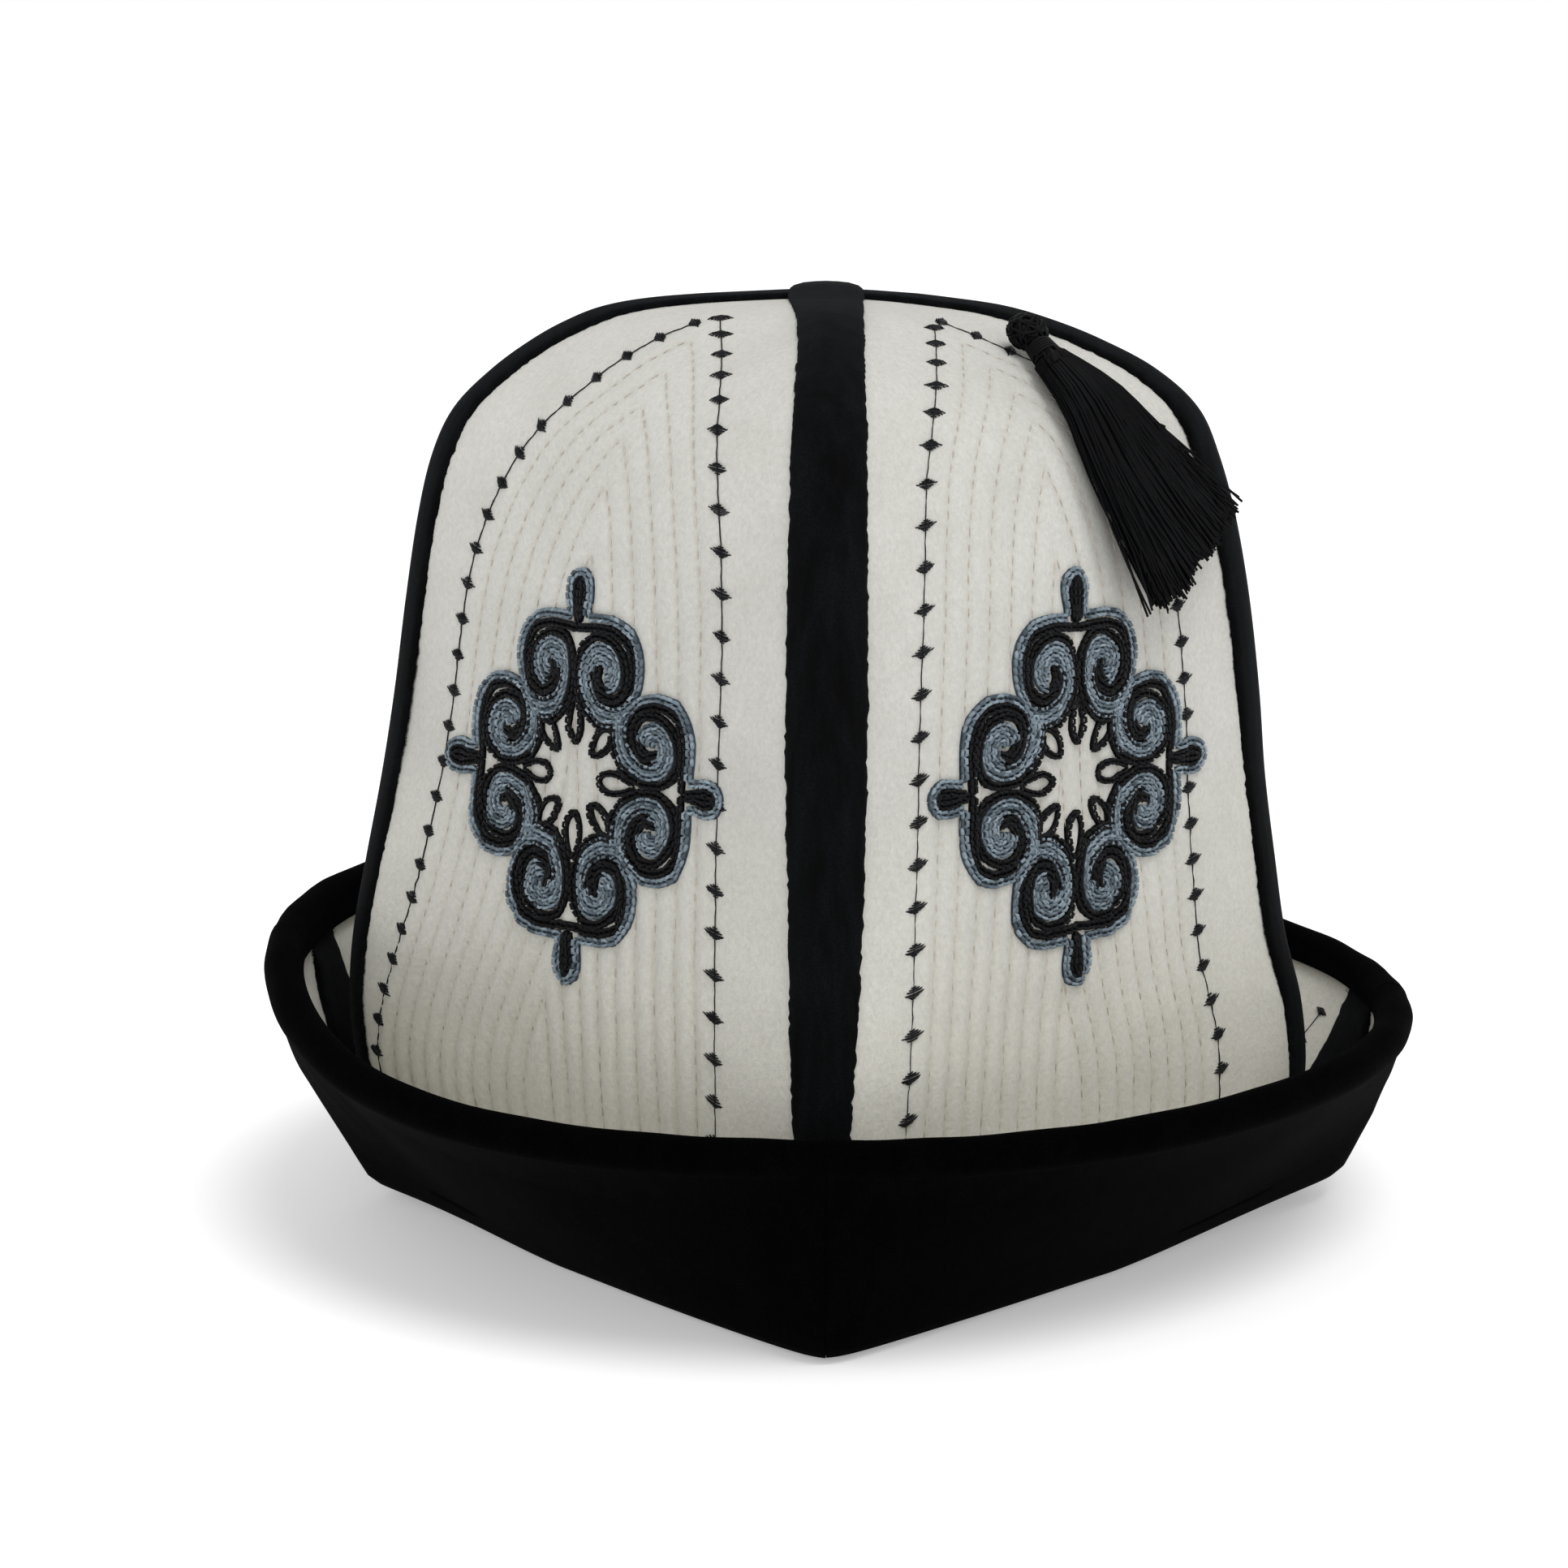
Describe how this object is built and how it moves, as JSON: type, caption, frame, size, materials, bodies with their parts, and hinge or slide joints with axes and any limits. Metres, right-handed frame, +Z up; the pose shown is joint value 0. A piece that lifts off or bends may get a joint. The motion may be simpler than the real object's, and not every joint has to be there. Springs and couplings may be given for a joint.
{
  "type": "kalpak hat",
  "caption": "Tall felt kalpak with velvet seam strips, a turned-up velvet cuff, stitched ornament and a side tassel, standing on its brim.",
  "frame": {"origin": "centre of the hat's plan on the surface it stands on", "axes": "+Z up through the crown; -Y is the front seam; +X is on the right of someone facing the hat's front"},
  "size_m": [0.2413, 0.241, 0.194],
  "materials": {
    "felt": "off-white brushed wool felt",
    "velvet": "deep black short-pile velvet",
    "strip_velvet": "black velvet strip with a vertical nap",
    "tassel_thread": "black spun tassel thread"
  },
  "bodies": {
    "root": {"felt_gore_front_left": "felt", "felt_gore_front_right": "felt", "felt_gore_back_left": "felt", "felt_gore_back_right": "felt", "cuff_velvet_front_left": "velvet", "cuff_velvet_front_right": "velvet", "cuff_velvet_back_left": "velvet", "cuff_velvet_back_right": "velvet", "seam_strip_front_back": "strip_velvet", "seam_strip_left": "strip_velvet", "seam_strip_right": "strip_velvet", "tassel_head": "tassel_thread", "tassel_neck": "tassel_thread", "tassel_skirt": "tassel_thread"}
  },
  "joints": []
}
